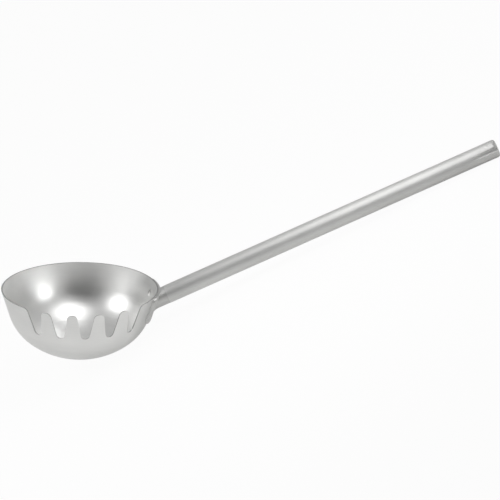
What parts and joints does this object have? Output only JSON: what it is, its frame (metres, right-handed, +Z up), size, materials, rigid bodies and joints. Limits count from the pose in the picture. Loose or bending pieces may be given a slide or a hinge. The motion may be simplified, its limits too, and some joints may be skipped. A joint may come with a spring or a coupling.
{
  "type": "noodle ladle",
  "caption": "Deep round steel ladle with a row of rounded teeth cut into one side of its rim, a plate welded behind the rim and a long straight tube handle.",
  "frame": {"origin": "middle of the ladle's box, on the surface that it rests on", "axes": "+Z up, +X from the bowl towards the end of the handle, teeth towards -Y"},
  "size_m": [0.4556, 0.1392, 0.0947],
  "materials": {
    "bowl_steel": "satin inside and outside",
    "plate_steel": "satin",
    "tube_steel": "half-polished"
  },
  "bodies": {
    "root": {"bowl": "bowl_steel", "handle_plate": "plate_steel", "handle_tube": "tube_steel"}
  },
  "joints": []
}
